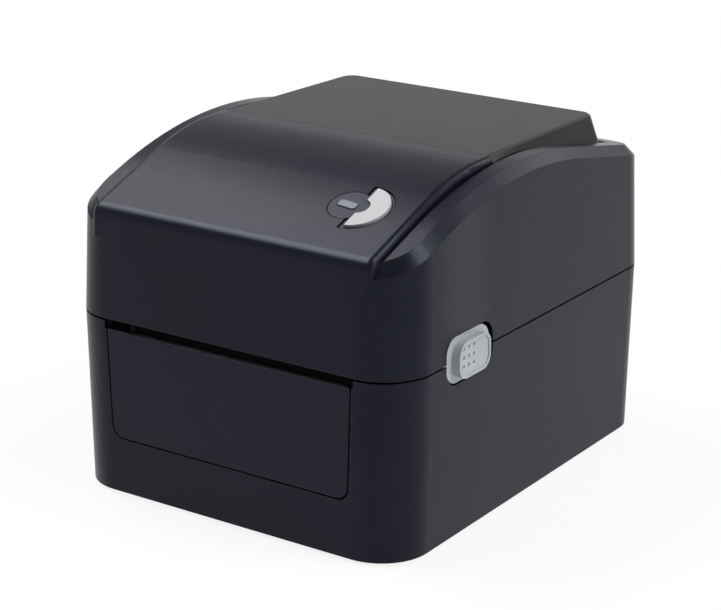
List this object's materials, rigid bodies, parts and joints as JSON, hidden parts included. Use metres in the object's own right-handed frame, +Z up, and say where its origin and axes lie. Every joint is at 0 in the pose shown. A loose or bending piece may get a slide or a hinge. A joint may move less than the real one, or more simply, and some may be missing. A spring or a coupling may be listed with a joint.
{
  "type": "thermal label printer",
  "caption": "Compact black desktop label printer: hinged hood with smoked window, side latches, crescent feed button, and a platen, print head and roll holders inside.",
  "frame": {"origin": "on the floor under the middle of the case", "axes": "+Z up, front with the label exit towards -Y, +X to the right seen from the front"},
  "size_m": [0.1846, 0.215, 0.1568],
  "materials": {
    "case_black": "satin",
    "cover_black": "satin",
    "panel_black": "satin",
    "inner_black": "matte",
    "window_smoke": "gloss",
    "latch_grey": "satin",
    "button_grey": "satin",
    "bezel_black": "gloss",
    "lens_blue": "gloss",
    "foot_rubber": "matte",
    "roller_rubber": "matte",
    "steel": "satin",
    "black_steel": "satin",
    "zinc": "satin",
    "spring_steel": "satin",
    "sink_aluminium": "satin",
    "gear_white": "satin",
    "bush_black": "satin",
    "motor_black": "satin",
    "board_green": "satin",
    "chip_black": "matte",
    "socket_black": "satin",
    "holder_grey": "satin",
    "head_ceramic": "gloss",
    "led_white": "gloss"
  },
  "bodies": {
    "base": {"lower_case": "case_black", "front_panel": "panel_black", "bottom_plate": "case_black", "rubber_feet": "foot_rubber", "case_screws": "zinc", "media_tray": "inner_black", "print_frame": "inner_black", "gap_sensor": "chip_black", "platen_bushes": "bush_black", "idler_post": "steel", "drive_motor": "motor_black", "motor_screws": "zinc", "roll_guide": "inner_black", "main_board": "board_green", "board_parts": "chip_black", "board_screws": "zinc", "power_inlet": "socket_black", "data_socket": "socket_black", "switch_housing": "socket_black"},
    "cover": {"top_cover": "cover_black", "cover_window": "window_smoke", "cover_liner": "inner_black", "liner_screws": "zinc", "hinge_pins": "steel", "tear_bar": "black_steel", "button_bezel": "bezel_black", "indicator_lens": "lens_blue", "key_switch": "chip_black", "status_led": "led_white", "button_board": "board_green", "head_spring_left": "spring_steel", "head_spring_right": "spring_steel", "latch_spring_left": "spring_steel", "latch_spring_right": "spring_steel"},
    "print_head": {"thermal_head": "head_ceramic", "chip_cover": "chip_black", "heat_sink": "sink_aluminium", "head_bracket": "zinc", "head_pins": "steel"},
    "feed_key": {"feed_button": "button_grey"},
    "left_latch": {"latch_left": "latch_grey"},
    "right_latch": {"latch_right": "latch_grey"},
    "platen": {"platen_shaft": "steel", "platen_roller": "roller_rubber", "platen_gear": "gear_white"},
    "idler": {"idler_gear": "gear_white"},
    "motor_rotor": {"motor_shaft": "steel", "motor_pinion": "gear_white"},
    "left_holder": {"holder_left": "holder_grey"},
    "right_holder": {"holder_right": "holder_grey"},
    "left_hub": {"roll_hub_left": "gear_white"},
    "right_hub": {"roll_hub_right": "gear_white"},
    "holder_gear": {"holder_pinion": "gear_white"},
    "rocker": {"power_rocker": "socket_black"}
  },
  "joints": [
    {"name": "cover_hinge", "type": "hinge", "parent": "base", "child": "cover", "pos_m": [0, 0.1038, 0.0845], "axis": [-1, 0, 0], "range_deg": [0, 90]},
    {"name": "head_pivot", "type": "hinge", "parent": "cover", "child": "print_head", "pos_m": [0, -0.066, 0.097], "axis": [-1, 0, 0], "range_deg": [0, 3], "stiffness_Nm_per_rad": 2, "springref_deg": -17.19, "deforming": ["head_spring_left", "head_spring_right"]},
    {"name": "feed_press", "type": "slide", "parent": "cover", "child": "feed_key", "axis": [0, 0.3486, -0.9373], "range_m": [0, 0.0008], "stiffness_N_per_m": 300, "springref_m": -0.002},
    {"name": "latch_left_press", "type": "slide", "parent": "cover", "child": "left_latch", "axis": [1, 0, 0], "range_m": [0, 0.002], "stiffness_N_per_m": 500, "springref_m": -0.003, "deforming": ["latch_spring_left"]},
    {"name": "latch_right_press", "type": "slide", "parent": "cover", "child": "right_latch", "axis": [-1, 0, 0], "range_m": [0, 0.002], "stiffness_N_per_m": 500, "springref_m": -0.003, "deforming": ["latch_spring_right"]},
    {"name": "platen_spin", "type": "hinge", "parent": "base", "child": "platen", "pos_m": [0, -0.088, 0.0723], "axis": [1, 0, 0], "continuous": true},
    {"name": "idler_spin", "type": "hinge", "parent": "base", "child": "idler", "pos_m": [0, -0.07968, 0.05665], "axis": [1, 0, 0], "continuous": true},
    {"name": "motor_spin", "type": "hinge", "parent": "base", "child": "motor_rotor", "pos_m": [0, -0.07619, 0.03684], "axis": [1, 0, 0], "continuous": true},
    {"name": "holder_left_slide", "type": "slide", "parent": "base", "child": "left_holder", "axis": [-1, 0, 0], "range_m": [-0.0465, 0]},
    {"name": "holder_right_slide", "type": "slide", "parent": "base", "child": "right_holder", "axis": [1, 0, 0], "range_m": [-0.0465, 0]},
    {"name": "holder_gear_turn", "type": "hinge", "parent": "base", "child": "holder_gear", "pos_m": [0, 0.022, 0.0343], "axis": [0, 0, 1], "range_deg": [-381, 0]},
    {"name": "hub_left_spin", "type": "hinge", "parent": "left_holder", "child": "left_hub", "pos_m": [-0.055, 0.022, 0.084], "axis": [1, 0, 0], "continuous": true},
    {"name": "hub_right_spin", "type": "hinge", "parent": "right_holder", "child": "right_hub", "pos_m": [0.055, 0.022, 0.084], "axis": [1, 0, 0], "continuous": true},
    {"name": "rocker_tilt", "type": "hinge", "parent": "base", "child": "rocker", "pos_m": [0.042, 0.10073, 0.0195], "axis": [0, 0, 1], "range_deg": [-20, 0]}
  ],
  "couplings": [
    {"joint": "idler_spin", "follows": "platen_spin", "ratio": -2.1429},
    {"joint": "motor_spin", "follows": "platen_spin", "ratio": 5.5102},
    {"joint": "holder_right_slide", "follows": "holder_left_slide", "ratio": 1},
    {"joint": "holder_gear_turn", "follows": "holder_left_slide", "rad_per_m": 142.86}
  ]
}
